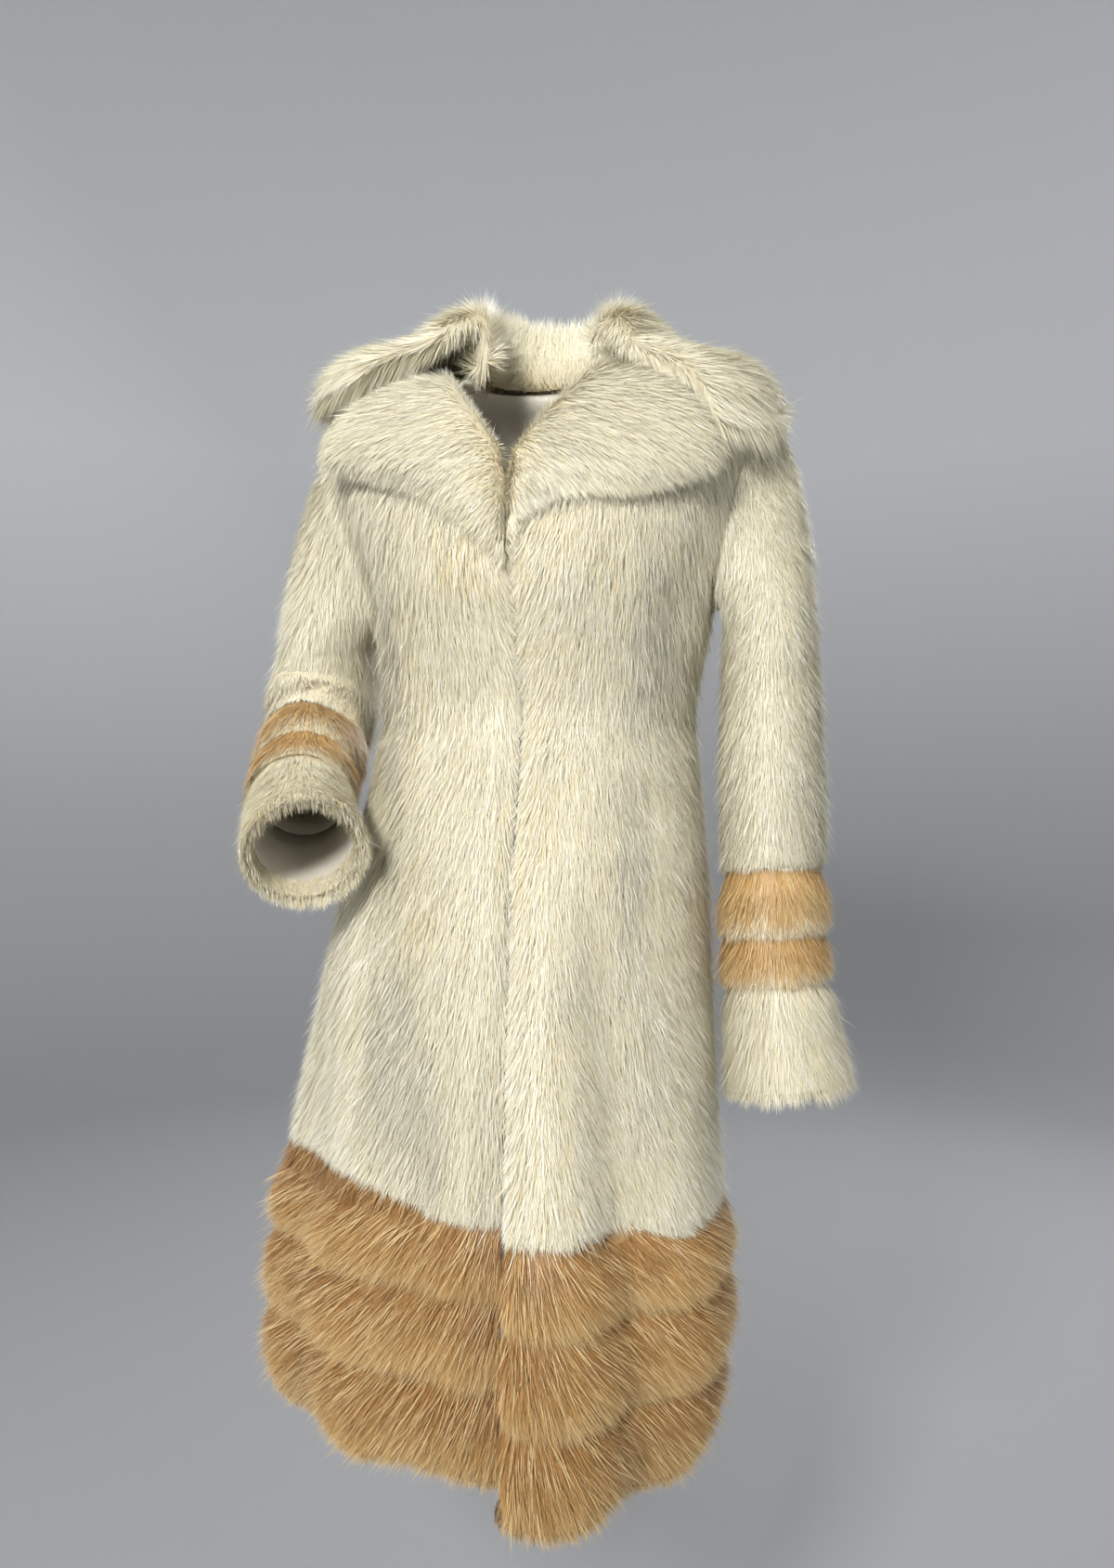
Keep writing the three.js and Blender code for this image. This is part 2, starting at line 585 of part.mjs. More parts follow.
// The surface that a lapel lies on: the front, and past its turn a straight run that clears the sleeve.
function chestPoint(x, z, side) {
  const { width } = ringAt(side, z);
  const turnX = Math.min(CHEST.turn, width * CHEST.widest);
  const angle = (reach) => angleAt(Math.max(reach, FRONT_EDGE), z, side);
  if (x <= turnX) return bodyPoint(angle(x), z);
  const last = bodyPoint(angle(turnX), z);
  const along = last.clone().sub(bodyPoint(angle(turnX - CHEST.run), z)).divideScalar(CHEST.run);
  return last.addScaledVector(along, x - turnX);
}

// A point above the chest, which stays on its own side of the centre line.
function chestLifted(x, z, side, lift) {
  const nearer = Math.max(x - CHEST.step, FRONT_EDGE);
  const around = chestPoint(x + CHEST.step, z, side).sub(chestPoint(nearer, z, side));
  const up = chestPoint(x, z + CHEST.step, side).sub(chestPoint(x, z - CHEST.step, side));
  const normal = around.cross(up).multiplyScalar(side).normalize();
  const point = chestPoint(x, z, side).addScaledVector(normal, lift);
  point.x = side * Math.max(side * point.x, FRONT_EDGE);
  return point;
}

function outlineCurve(points) {
  return new THREE.CatmullRomCurve3(points.map(([x, z]) => new THREE.Vector3(x, 0, z)));
}

// A point inside four edges: u runs from the roll to the outer edge, and v from the lower edge to the gorge.
function patchPoint(edges, u, v) {
  const low = edges.lower.getPointAt(u);
  const high = edges.gorge.getPointAt(u);
  const near = edges.roll.getPointAt(v);
  const far = edges.outer.getPointAt(v);
  const corners = new THREE.Vector3()
    .addScaledVector(edges.lower.getPointAt(0), (1 - u) * (1 - v))
    .addScaledVector(edges.lower.getPointAt(1), u * (1 - v))
    .addScaledVector(edges.gorge.getPointAt(0), (1 - u) * v)
    .addScaledVector(edges.gorge.getPointAt(1), u * v);
  return low.lerp(high, v).add(near.lerp(far, u)).sub(corners);
}

function lapel(name, word) {
  const side = word === "left" ? 1 : -1;
  const outline = LAPELS[word];
  const edges = {};
  for (const [key, points] of Object.entries(outline)) edges[key] = outlineCurve(points);
  const outer = [];
  const inner = [];
  for (const v of evenly(0, 1, LAPEL.up)) {
    const outerRow = [];
    const innerRow = [];
    for (const u of evenly(0, 1, LAPEL.across)) {
      const place = patchPoint(edges, u, v);
      const toEdge = Math.min(u * LAPEL.rollShare, 1 - u, v, 1 - v);
      const thick = lerp(LAPEL.edgeThick, LAPEL.thick, smoothstep(toEdge, 0, LAPEL.edgeShare));
      const under = LAPEL.clearance + LAPEL.standOff * u * u * (1 - LAPEL.standOffLoss * v);
      const rise = LAPEL.neckRise * (1 - u) ** 2 * v * v;
      const x = Math.max(place.x, FRONT_EDGE);
      outerRow.push(chestLifted(x, place.z, side, under + thick + rise));
      innerRow.push(chestLifted(x, place.z, side, under));
    }
    outer.push(outerRow);
    inner.push(innerRow);
  }
  return wallMesh(name, CREAM, outer, inner, false);
}

// One profile of the collar, from the neck seam up the stand, over the roll and down the fall.
function collarProfile(around, side) {
  const rows = COLLAR_ROWS[side > 0 ? "left" : "right"];
  const read = (column) => readTable(rows, "around", column, around);
  const seam = bodyPoint(side * (90 + around), NECK_BASE);
  const seamReach = Math.hypot(seam.x, seam.y);
  const place = (column) => ({ reach: read(column), z: read(`${column}Z`) });
  const between = (from, to, share) => ({
    reach: lerp(from.reach, to.reach, share.reach),
    z: lerp(from.z, to.z, share.z),
  });
  const [ridge, brk, mid, rim, edge] = ["ridge", "brk", "mid", "rim", "edge"].map(place);
  const stand = { reach: ridge.reach - STAND_INNER, z: ridge.z - STAND_INNER };
  const foot = { reach: seamReach - WALL, z: SEAM_GAP };
  return [
    foot,
    { reach: lerp(foot.reach, stand.reach, BETWEEN.seamAndStand.reach), z: ridge.z * BETWEEN.seamAndStand.z },
    stand,
    ridge,
    between(ridge, brk, BETWEEN.ridgeAndBreak),
    brk,
    between(brk, mid, BETWEEN.breakAndMiddle),
    mid,
    between(mid, rim, BETWEEN.middleAndRim),
    rim,
    between(rim, edge, BETWEEN.rimAndEdge),
    edge,
  ];
}

function collar() {
  const half = COLLAR_SHAPE.columns / 2;
  const stations = [];
  const { front, back } = COLLAR_ENDS;
  for (const around of evenly(front, back, half)) stations.push({ around, side: 1 });
  for (const around of evenly(back, front, half).slice(1)) stations.push({ around, side: -1 });
  const profiles = stations.map(({ around, side }) => collarProfile(around, side));
  const rows = profiles[0].length;
  const outer = evenly(0, rows - 1, rows - 1).map((i) => stations.map(({ around, side }, k) => {
    const { reach, z } = profiles[k][i];
    const nearFront = smoothstep(-around, ...COLLAR_SHAPE.sweepFrom);
    const sweep = COLLAR_SHAPE.frontSweep * (1 - i / (rows - 1)) * nearFront;
    const angle = degToRad(around - sweep);
    return new THREE.Vector3(side * reach * Math.cos(angle), reach * Math.sin(angle), z);
  }));
  const last = stations.length - 1;
  const inner = outer.map((row, i) => row.map((point, k) => {
    if (i === 0) return point.clone().add(new THREE.Vector3(point.x, point.y, 0).setLength(WALL));
    const across = row[Math.min(k + 1, last)].clone().sub(row[Math.max(k - 1, 0)]);
    const down = outer[Math.min(i + 1, rows - 1)][k].clone().sub(outer[i - 1][k]);
    const normal = down.cross(across).normalize();
    const share = smoothstep(i, 0, 3) * (1 - smoothstep(i, rows - 3, rows - 1));
    return point.clone().addScaledVector(normal, -lerp(COLLAR_SHAPE.edgeThick, COLLAR_SHAPE.thick, share));
  }));
  return wallMesh("collar", CREAM, outer, inner, false);
}

const coat = new THREE.Group();
coat.add(frontPanel("front_right", -1), frontPanel("front_left", 1), backPanel());
for (const band of BORDER_BANDS) {
  for (const part of ["right", "left", "back"]) coat.add(borderBand(band, part));
}
for (const word of ["right", "left"]) {
  coat.add(...sleevePieces(word), lapel(`lapel_${word}`, word));
}
coat.add(collar());

export default coat;
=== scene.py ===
import math

import bmesh
import bpy
import numpy as np
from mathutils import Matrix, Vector
from mathutils.bvhtree import BVHTree


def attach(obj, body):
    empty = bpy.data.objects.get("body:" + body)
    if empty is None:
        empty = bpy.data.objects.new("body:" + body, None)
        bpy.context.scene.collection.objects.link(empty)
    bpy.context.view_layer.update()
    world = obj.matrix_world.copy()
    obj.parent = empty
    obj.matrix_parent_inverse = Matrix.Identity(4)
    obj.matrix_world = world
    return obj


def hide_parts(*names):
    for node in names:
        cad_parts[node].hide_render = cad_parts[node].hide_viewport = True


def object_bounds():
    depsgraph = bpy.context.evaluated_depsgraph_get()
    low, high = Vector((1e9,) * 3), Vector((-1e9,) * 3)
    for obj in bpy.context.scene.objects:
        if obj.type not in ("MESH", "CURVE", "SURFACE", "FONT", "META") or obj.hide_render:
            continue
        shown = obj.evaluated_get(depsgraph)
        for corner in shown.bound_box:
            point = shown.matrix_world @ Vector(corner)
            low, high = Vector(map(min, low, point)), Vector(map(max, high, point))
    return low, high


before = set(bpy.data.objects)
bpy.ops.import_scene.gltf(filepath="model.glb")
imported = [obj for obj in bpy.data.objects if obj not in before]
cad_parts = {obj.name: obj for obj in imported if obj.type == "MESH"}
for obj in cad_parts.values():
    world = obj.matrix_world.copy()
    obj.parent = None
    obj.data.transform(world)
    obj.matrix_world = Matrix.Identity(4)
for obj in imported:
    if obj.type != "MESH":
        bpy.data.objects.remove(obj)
cadBox = [list(corner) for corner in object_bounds()]
print("frame loaded:", len(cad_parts), "nodes")

# ---------------------------------------------------------------- camera, lamps and world light

view = {"place": (0.2562, -1.0388, -0.389), "turn": 13.5, "lens": 26.0, "sensor": 36.0}

camera = bpy.data.objects.new("camera", bpy.data.cameras.new("camera"))
camera.location = view["place"]
camera.rotation_euler = (math.radians(90), 0, math.radians(view["turn"]))
camera.data.lens = view["lens"]
camera.data.sensor_width = view["sensor"]
bpy.context.scene.collection.objects.link(camera)
bpy.context.scene.camera = camera

lamps = {  # name: place, aimed at, size in metres, watts
    "key": ((-0.25, -2.3, 0.70), (0, 0, -0.40), 0.5, 66),
    "fill": ((2.2, -1.6, 0.3), (0, 0, -0.5), 1.6, 9),
    "left": ((-2.4, -0.6, 0.3), (0, 0, -0.5), 1.6, 10),
    "rear": ((0.6, 2.4, 0.9), (0, 0, -0.45), 1.0, 52),
    "top": ((0.0, 0.0, 2.6), (0, 0, -0.5), 2.0, 9),
}
for lampName, (place, aim, size, watts) in lamps.items():
    lamp = bpy.data.objects.new(lampName, bpy.data.lights.new(lampName, "AREA"))
    lamp.location = place
    lamp.rotation_euler = (Vector(aim) - Vector(place)).to_track_quat("-Z", "Y").to_euler()
    lamp.data.size = size
    lamp.data.energy = watts
    bpy.context.scene.collection.objects.link(lamp)

world = bpy.data.worlds.new("studio")
bpy.context.scene.world = world
world.use_nodes = True
world.node_tree.nodes["Background"].inputs["Color"].default_value = (0.66, 0.67, 0.68, 1)
world.node_tree.nodes["Background"].inputs["Strength"].default_value = 0.58
bpy.context.scene.view_settings.view_transform = "Standard"


# ---------------------------------------------------------------- materials


class Graph:
    def __init__(self, name):
        self.material = bpy.data.materials.new(name)
        self.material.use_nodes = True
        self.tree = self.material.node_tree
        self.shader = self.tree.nodes["Principled BSDF"]

    def node(self, kind, settings=None, outlet=0, **values):
        made = self.tree.nodes.new(kind)
        for key, value in (settings or {}).items():
            if key == "stops":
                ramp = made.color_ramp
                while len(ramp.elements) > 1:
                    ramp.elements.remove(ramp.elements[-1])
                for index, (position, colour) in enumerate(value):
                    element = ramp.elements[0] if index == 0 else ramp.elements.new(position)
                    element.position = position
                    element.color = (*colour, 1)
            else:
                setattr(made, key, value)
        for key, value in values.items():
            self.plug(made.inputs[int(key[1:]) if key[0] == "i" and key[1:].isdigit() else key], value)
        return Link(self, made.outputs[outlet])

    def plug(self, socket, value):
        if isinstance(value, Link):
            self.tree.links.new(value.socket, socket)
        else:
            socket.default_value = value

    def surface(self, **values):
        for key, value in values.items():
            self.plug(self.shader.inputs[key.replace("_", " ")], value)


class Link:
    def __init__(self, graph, socket):
        self.graph = graph
        self.socket = socket

    def maths(self, operation, first, second):
        return self.graph.node("ShaderNodeMath", {"operation": operation}, i0=first, i1=second)

    def __add__(self, other):
        return self.maths("ADD", self, other)

    def __radd__(self, other):
        return self.maths("ADD", other, self)

    def __mul__(self, other):
        return self.maths("MULTIPLY", self, other)

    def __rmul__(self, other):
        return self.maths("MULTIPLY", other, self)


def mixColour(graph, share, first, second):
    return graph.node("ShaderNodeMix", {"data_type": "RGBA"}, outlet=2, i0=share, i6=first, i7=second)


def hairMaterial(name, tips, roots):
    graph = Graph(name)
    atlas = graph.node("ShaderNodeUVMap", {"uv_map": "OFBake"})
    tone = graph.node("ShaderNodeSeparateXYZ", outlet=0, Vector=atlas)
    along = graph.node("ShaderNodeSeparateXYZ", outlet=1, Vector=atlas)
    tip = graph.node("ShaderNodeValToRGB", {"stops": tips}, Fac=tone)
    root = graph.node("ShaderNodeValToRGB", {"stops": roots}, Fac=tone)
    ease = {"interpolation_type": "SMOOTHSTEP"}
    share = graph.node("ShaderNodeMapRange", ease, Value=along, i1=0.0, i2=0.50)
    graph.surface(Base_Color=mixColour(graph, share, root, tip), Roughness=0.45)
    graph.shader.inputs["Specular IOR Level"].default_value = 0.45
    graph.shader.inputs["Sheen Weight"].default_value = 0.15
    graph.shader.inputs["Sheen Roughness"].default_value = 0.4
    return graph.material


def underfurMaterial(name, dark, light):
    graph = Graph(name)
    where = graph.node("ShaderNodeTexCoord", outlet=3)
    coarse = graph.node("ShaderNodeTexNoise", Vector=where, Scale=22.0, Detail=3.0)
    fine = graph.node("ShaderNodeTexNoise", Vector=where, Scale=420.0, Detail=2.0)
    share = coarse * 0.5 + fine * 0.5
    graph.surface(Base_Color=mixColour(graph, share, (*dark, 1), (*light, 1)), Roughness=0.9)
    graph.surface(Normal=graph.node("ShaderNodeBump", Height=fine, Strength=0.5, Distance=0.002))
    return graph.material


def satinMaterial(name, colour):
    graph = Graph(name)
    where = graph.node("ShaderNodeTexCoord", outlet=3)
    weave = graph.node("ShaderNodeTexNoise", Vector=where, Scale=900.0, Detail=1.0)
    cloud = graph.node("ShaderNodeTexNoise", Vector=where, Scale=14.0, Detail=3.0)
    darker = tuple(c * 0.82 for c in colour)
    graph.surface(Base_Color=mixColour(graph, cloud, (*darker, 1), (*colour, 1)), Roughness=0.42)
    graph.surface(Normal=graph.node("ShaderNodeBump", Height=weave, Strength=0.12, Distance=0.0006))
    graph.shader.inputs["Sheen Weight"].default_value = 0.2
    return graph.material


# One scale of hair tones, from dark brown through gold to white and yellowish cream.
hairTones = {
    "tips": [
        (0.00, (0.16, 0.065, 0.018)),
        (0.12, (0.36, 0.175, 0.052)),
        (0.25, (0.57, 0.325, 0.108)),
        (0.36, (0.71, 0.465, 0.190)),
        (0.46, (0.83, 0.63, 0.325)),
        (0.54, (0.57, 0.54, 0.43)),
        (0.66, (0.80, 0.75, 0.565)),
        (0.80, (0.91, 0.86, 0.665)),
        (0.90, (0.96, 0.935, 0.80)),
        (1.00, (0.90, 0.765, 0.43)),
    ],
    "roots": [
        (0.00, (0.10, 0.04, 0.010)),
        (0.25, (0.42, 0.22, 0.068)),
        (0.46, (0.64, 0.43, 0.175)),
        (0.54, (0.50, 0.455, 0.335)),
        (0.80, (0.76, 0.69, 0.485)),
        (1.00, (0.76, 0.61, 0.33)),
    ],
}
creamHair = hairMaterial("cream_hair", hairTones["tips"], hairTones["roots"])
tanHair = hairMaterial("tan_hair", hairTones["tips"], hairTones["roots"])
creamUnder = underfurMaterial("cream_underfur", (0.66, 0.58, 0.40), (0.80, 0.73, 0.53))
tanUnder = underfurMaterial("tan_underfur", (0.38, 0.21, 0.08), (0.56, 0.35, 0.15))
satin = satinMaterial("ivory_satin", (0.66, 0.61, 0.51))

# ---------------------------------------------------------------- smooth noise for the lie of the fur


class Cloud:
    def __init__(self, seed):
        self.grid = np.random.default_rng(seed).uniform(-1, 1, (32, 32, 32))

    def at(self, points, size):
        q = points / size + 1000.0
        low = np.floor(q).astype(int)
        f = q - low
        f = f * f * (3 - 2 * f)
        total = np.zeros(len(points))
        for corner in range(8):
            step = np.array([corner & 1, (corner >> 1) & 1, (corner >> 2) & 1])
            index = (low + step) % 32
            weight = np.prod(np.where(step, f, 1 - f), axis=1)
            total += weight * self.grid[index[:, 0], index[:, 1], index[:, 2]]
        return total


clouds = [Cloud(seed) for seed in range(11, 19)]

# ---------------------------------------------------------------- panels of the coat

down = np.array([0.0, 0.0, -1.0])
sleeveLines = {
    "right": [(-0.21, 0, -0.06), (-0.215, -0.004, -0.13), (-0.22, 0.0, -0.2), (-0.228, 0.009, -0.246),
              (-0.235, 0.014, -0.30), (-0.231, -0.020, -0.347), (-0.221, -0.059, -0.378),
              (-0.209, -0.093, -0.401), (-0.192, -0.129, -0.424), (-0.172, -0.163, -0.444)],
    "left": [(0.20, 0, -0.06), (0.20, -0.004, -0.13), (0.203, -0.006, -0.2), (0.204, -0.006, -0.252),
             (0.206, -0.014, -0.353), (0.208, -0.017, -0.410), (0.209, -0.022, -0.517),
             (0.211, -0.025, -0.558), (0.216, -0.029, -0.605), (0.221, -0.033, -0.648)],
}
bodyLine = [(0, -0.01, 0.05), (0, -0.015, -0.15), (-0.008, -0.012, -0.33), (-0.025, -0.02, -0.55),
            (-0.045, -0.035, -0.75), (-0.05, -0.04, -0.95)]


def nearestOnLine(points, line):
    line = np.array(line)
    best = np.full(len(points), 1e9)
    place = np.zeros_like(points)
    way = np.zeros_like(points)
    for a, b in zip(line[:-1], line[1:]):
        d = b - a
        t = np.clip(((points - a) @ d) / (d @ d), 0, 1)
        q = a + t[:, None] * d
        far = np.linalg.norm(points - q, axis=1)
        closer = far < best
        best[closer] = far[closer]
        place[closer] = q[closer]
        way[closer] = d / np.linalg.norm(d)
    return place, way


def merged(node):
    shell = bmesh.new()
    shell.from_mesh(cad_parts[node].data)
    bmesh.ops.remove_doubles(shell, verts=shell.verts, dist=1e-5)
    shell.normal_update()
    return shell


panels = {  # kind, fur, cut as (width, length, area) in metres, how it is held and what it hangs from
    "front_right": ("body", "cream", (0.33, 0.77, 0.175), "hung", ["collar"]),
    "front_left": ("body", "cream", (0.30, 0.77, 0.158), "hung", ["collar"]),
    "back": ("body", "cream", (0.62, 0.77, 0.345), "hung", ["collar"]),
    "hem_upper_right": ("hem", "tan", (0.36, 0.066, 0.0220), "hung", ["front_right"]),
    "hem_upper_left": ("hem", "tan", (0.31, 0.066, 0.0188), "hung", ["front_left"]),
    "hem_upper_back": ("hem", "tan", (0.67, 0.066, 0.0425), "hung", ["back"]),
    "hem_middle_right": ("hem", "tan", (0.37, 0.072, 0.0245), "hung", ["hem_upper_right"]),
    "hem_middle_left": ("hem", "tan", (0.31, 0.072, 0.0205), "hung", ["hem_upper_left"]),
    "hem_middle_back": ("hem", "tan", (0.68, 0.072, 0.0468), "hung", ["hem_upper_back"]),
    "hem_lower_right": ("hem", "tan", (0.37, 0.077, 0.0262), "hung", ["hem_middle_right"]),
    "hem_lower_left": ("hem", "tan", (0.30, 0.077, 0.0213), "hung", ["hem_middle_left"]),
    "hem_lower_back": ("hem", "tan", (0.68, 0.077, 0.0495), "hung", ["hem_middle_back"]),
    "sleeve_right": ("sleeve", "cream", (0.37, 0.36, 0.072), "hung", ["front_right", "back"]),
    "sleeve_left": ("sleeve", "cream", (0.37, 0.44, 0.094), "hung", ["front_left", "back"]),
    "sleeve_band_upper_right": ("band", "tan", (0.335, 0.057, 0.0180), "hung", ["sleeve_right"]),
    "sleeve_band_upper_left": ("band", "tan", (0.340, 0.057, 0.0184), "hung", ["sleeve_left"]),
    "sleeve_band_lower_right": ("band", "tan", (0.330, 0.042, 0.0132), "hung", ["sleeve_band_upper_right"]),
    "sleeve_band_lower_left": ("band", "tan", (0.345, 0.042, 0.0138), "hung", ["sleeve_band_upper_left"]),
    "cuff_right": ("cuff", "cream", (0.345, 0.091, 0.0265), "hung", ["sleeve_band_lower_right"]),
    "cuff_left": ("cuff", "cream", (0.375, 0.091, 0.0290), "hung", ["sleeve_band_lower_left"]),
    "lapel_right": ("lapel", "cream", (0.19, 0.16, 0.0195), "folded", ["front_right"]),
    "lapel_left": ("lapel", "cream", (0.18, 0.16, 0.0172), "folded", ["front_left"]),
    "collar": ("collar", "cream", (0.78, 0.26, 0.113), "folded", ["front_right", "front_left", "back"]),
}
# Length, lift off the skin, width at the root, density, depth of the skin, how much the hairs gather
# in locks and how far they reach over the seam below, in metres, degrees and hairs for each square metre.
pileColumns = ("length", "lift", "width", "density", "depth", "locks", "over")
pileRows = {
    "body": (0.021, 16.0, 0.00080, 520000, 0.0052, 0.65, 0.008),
    "hem": (0.028, 17.0, 0.00085, 620000, 0.0078, 0.40, 0.012),
    "sleeve": (0.021, 16.0, 0.00080, 520000, 0.0050, 0.65, 0.006),
    "band": (0.022, 18.0, 0.00080, 640000, 0.0062, 0.35, 0.008),
    "cuff": (0.024, 17.0, 0.00080, 640000, 0.0055, 0.30, 0.012),
    "lapel": (0.016, 15.0, 0.00075, 680000, 0.0036, 0.35, 0.006),
    "collar": (0.022, 18.0, 0.00080, 500000, 0.0038, 0.50, 0.006),
}
pile = {kind: dict(zip(pileColumns, row)) for kind, row in pileRows.items()}
lie = {
    "cover": 0.0012,  # nothing grows where another piece lies this near
    "lock": 0.007,  # width of a lock of hairs
    "lockLong": 5.0,  # its length over its width
    "turnedIn": 0.020,  # the fur goes this far round the mouths of the cuffs and the hem
    "guard": 0.07,  # share of long pale guard hairs
    "guardLong": 1.2,
    "shortest": 0.006,
    "rimLong": 0.010,  # round an open mouth
    "underCream": 0.006,  # how far cream hairs reach over the border's own tan
    "quickShare": 0.12,
    "paintedGrooveShade": 0.08,  # painted shade: how much darker the fur is painted in the groove where the fronts meet
    "rightForearm": 0.7,  # it points forwards, and its fur lies flatter
    "proud": (0.011, 0.009, 0.015),  # the most that a hair may stand out of the coat's own box, by axis
}
border = {  # lower edge of the cream fur, from the wearer's right side round the front to the left
    "places": [-0.14, -0.10, -0.069, -0.067, 0.0, 0.001, 0.073, 0.075, 0.11, 0.14],
    "heights": [-0.720, -0.730, -0.733, -0.741, -0.741, -0.736, -0.736, -0.731, -0.738, -0.746],
}
backBorder = {
    "places": [-0.16, -0.06, -0.055, 0.05, 0.055, 0.13],
    "heights": [-0.722, -0.732, -0.746, -0.746, -0.738, -0.746],
}
sleeveCut = {  # how far the two seams lie from the open end of each sleeve, in metres
    "sleeve": (0.5, 0.187), "sleeve_band_upper": (0.187, 0.131),
    "sleeve_band_lower": (0.131, 0.090), "cuff": (0.090, 0.0),
}
hemCut = {"upper": (-0.735, -0.800), "middle": (-0.800, -0.871), "lower": (-0.871, -0.947)}
yellowPlaces = [  # x, z, half width, half height, strength
    (0.036, -0.176, 0.030, 0.035, 0.60), (0.047, -0.272, 0.022, 0.022, 0.40),
    (-0.037, -0.194, 0.030, 0.030, 0.55), (0.006, -0.235, 0.018, 0.035, 0.35),
    (0.016, -0.322, 0.028, 0.055, 0.40), (-0.086, -0.490, 0.014, 0.050, 0.50),
    (0.075, -0.479, 0.012, 0.040, 0.40), (0.016, -0.470, 0.030, 0.050, 0.35),
    (0.085, -0.190, 0.015, 0.050, 0.30), (-0.050, -0.350, 0.020, 0.070, 0.25),
]
paintedShadePlaces = [  # painted shade at the sides and in the folds of the body; the same columns
    (-0.140, -0.270, 0.030, 0.110, 0.80), (0.118, -0.270, 0.028, 0.090, 0.80),
    (0.095, -0.430, 0.018, 0.100, 0.60), (-0.100, -0.610, 0.032, 0.090, 0.90),
    (-0.058, -0.680, 0.018, 0.060, 0.50), (0.030, -0.360, 0.010, 0.060, 0.35),
    (0.112, -0.620, 0.024, 0.120, 0.70), (-0.120, -0.430, 0.020, 0.080, 0.40),
    (0.055, -0.560, 0.010, 0.080, 0.30),
]


def insideOf(kind, node, centres):
    if kind in ("sleeve", "band", "cuff"):
        return nearestOnLine(centres, sleeveLines[node.rsplit("_", 1)[1]])
    return nearestOnLine(centres, bodyLine)


def sortFaces(node, kind, bm):
    faces = list(bm.faces)
    if kind in ("lapel", "collar"):
        return ["outer"] * len(faces)
    centres = np.array([f.calc_center_median() for f in faces])
    normals = np.array([f.normal for f in faces])
    axisPoint, way = insideOf(kind, node, centres)
    outward = centres - axisPoint
    outward -= np.sum(outward * way, axis=1)[:, None] * way
    lean = np.sum(unit(outward) * normals, axis=1)
    least = 0.08 if kind in ("sleeve", "band", "cuff") else 0.25
    return ["outer" if s > least else "inner" if s < -0.25 else "rim" for s in lean]


def outerNormals(bm, sides):  # without the edges of the wall, which would tilt them at the seams
    normals = {}
    for face, side in zip(bm.faces, sides):
        if side == "outer":
            for vert in face.verts:
                normals[vert] = normals.get(vert, Vector()) + face.normal * face.calc_area()
    return {vert: way.normalized() for vert, way in normals.items()}


thinWall = 0.001  # left between a skin and the inner face, and the least that a skin is sunk


def sinkDepths(node, kind, bm, sides, outward):  # how far the skin lies under the coat's face
    tree = BVHTree.FromBMesh(bm)
    dip = {"hem_upper": 0.5, "sleeve_band_upper": 0.5, "cuff": 0.1}.get(node.rsplit("_", 1)[0], 0.15)
    around = {}
    for face, side in zip(bm.faces, sides):
        if side == "outer":
            for vert in face.verts:
                around.setdefault(vert, []).append(face.calc_center_median())
    sunk = {}
    for vert, way in outward.items():
        middle = sum(around[vert], Vector()) / len(around[vert])
        inland = vert.co.lerp(middle, 0.4)  # clear of the wall's own edge
        through = tree.ray_cast(inland - way * 0.0005, -way)[3]
        share = seamShare(node, kind, np.array([vert.co[:]]))[0]
        underFur = 1 - float(smooth(0, 0.3, share))  # it dips under the fur above it
        deep = pile[kind]["depth"] * (1 + dip * underFur)
        sunk[vert] = min(deep, max((through or 1) - thinWall, thinWall))
    return sunk


def makeSkin(node, kind, fur):
    bm = merged(node)
    sides = sortFaces(node, kind, bm)
    for face, side in zip(bm.faces, sides):
        face.material_index = {"outer": 0, "inner": 1, "rim": 2}[side]
        face.smooth = True
    outward = outerNormals(bm, sides)
    sunk = sinkDepths(node, kind, bm, sides, outward)
    for vert, deep in sunk.items():
        vert.co -= outward[vert] * deep
    print(node, "skin sunk", round(max(sunk.values()) * 1000, 1), "mm at most")
    mesh = bpy.data.meshes.new(node + "_skin")
    bm.to_mesh(mesh)
    bm.free()
    mesh.materials.append(creamUnder if fur == "cream" else tanUnder)
    mesh.materials.append(satin)
    mesh.materials.append(creamUnder if fur == "cream" or kind == "band" else tanUnder)
    skin = bpy.data.objects.new(node + "_skin", mesh)
    bpy.context.scene.collection.objects.link(skin)
    return skin


allSolids = bmesh.new()
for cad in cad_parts.values():
    allSolids.from_mesh(cad.data)
allTree = BVHTree.FromBMesh(allSolids)
allSolids.free()


